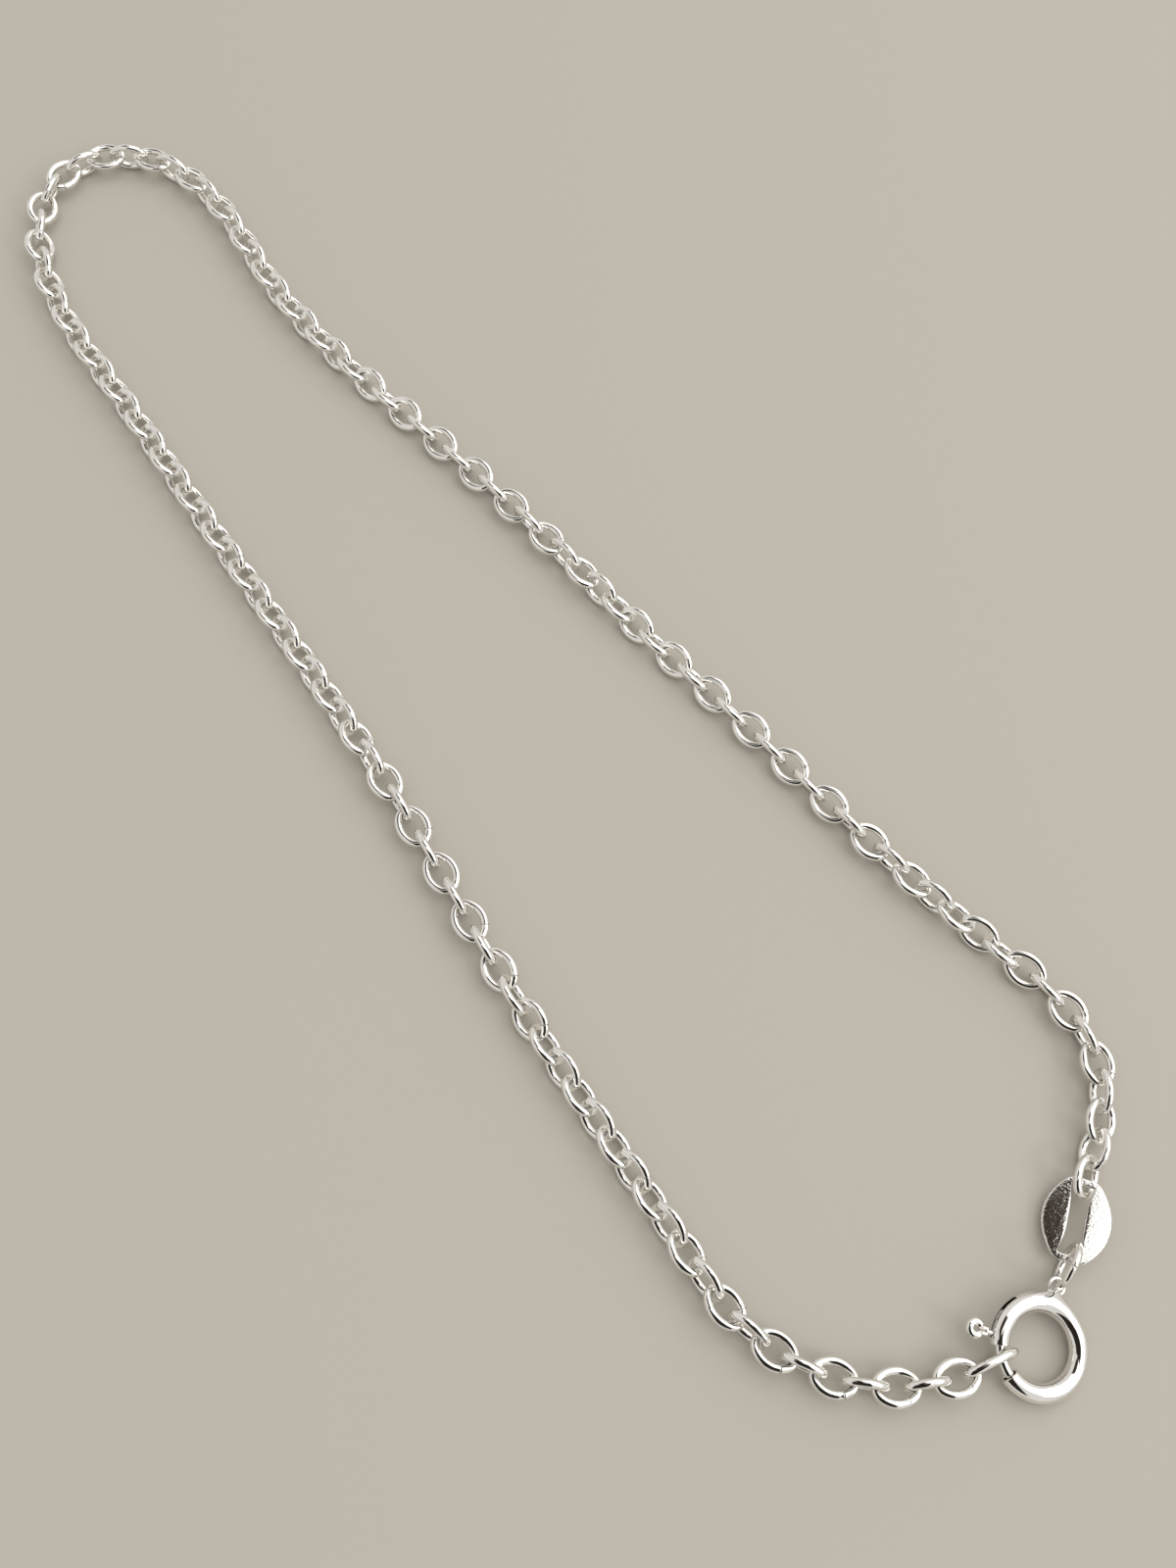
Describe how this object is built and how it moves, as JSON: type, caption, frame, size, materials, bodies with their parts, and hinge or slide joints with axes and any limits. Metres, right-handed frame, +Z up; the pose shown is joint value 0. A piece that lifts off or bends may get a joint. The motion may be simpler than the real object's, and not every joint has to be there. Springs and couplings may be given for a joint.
{
  "type": "chain anklet",
  "caption": "Fine polished silver cable-chain anklet, fastened and lying in one long loop, with a round bolt-ring clasp, a jump ring and a small two-leaf tag link.",
  "frame": {"origin": "middle of the whole anklet's footprint, on the surface that it lies on", "axes": "+Z up from the surface; +Y along the long way of the loop, away from the clasp; +X towards the tag link's side of the loop"},
  "size_m": [0.0316, 0.1128, 0.0032],
  "materials": {
    "silver": "bright polished silver"
  },
  "bodies": {
    "anklet": {"chain_tag_side": "silver", "chain_clasp_side": "silver", "tag_link": "silver", "jump_ring": "silver", "bolt_ring_body": "silver"},
    "bolt": {"bolt": "silver"}
  },
  "joints": [
    {"name": "bolt_draw", "type": "hinge", "parent": "anklet", "child": "bolt", "pos_m": [-0.00171, -0.05336, 0.00095], "axis": [-0.0231, 0.146, -0.989], "range_deg": [0, 45], "stiffness_Nm_per_rad": 0.00001}
  ]
}
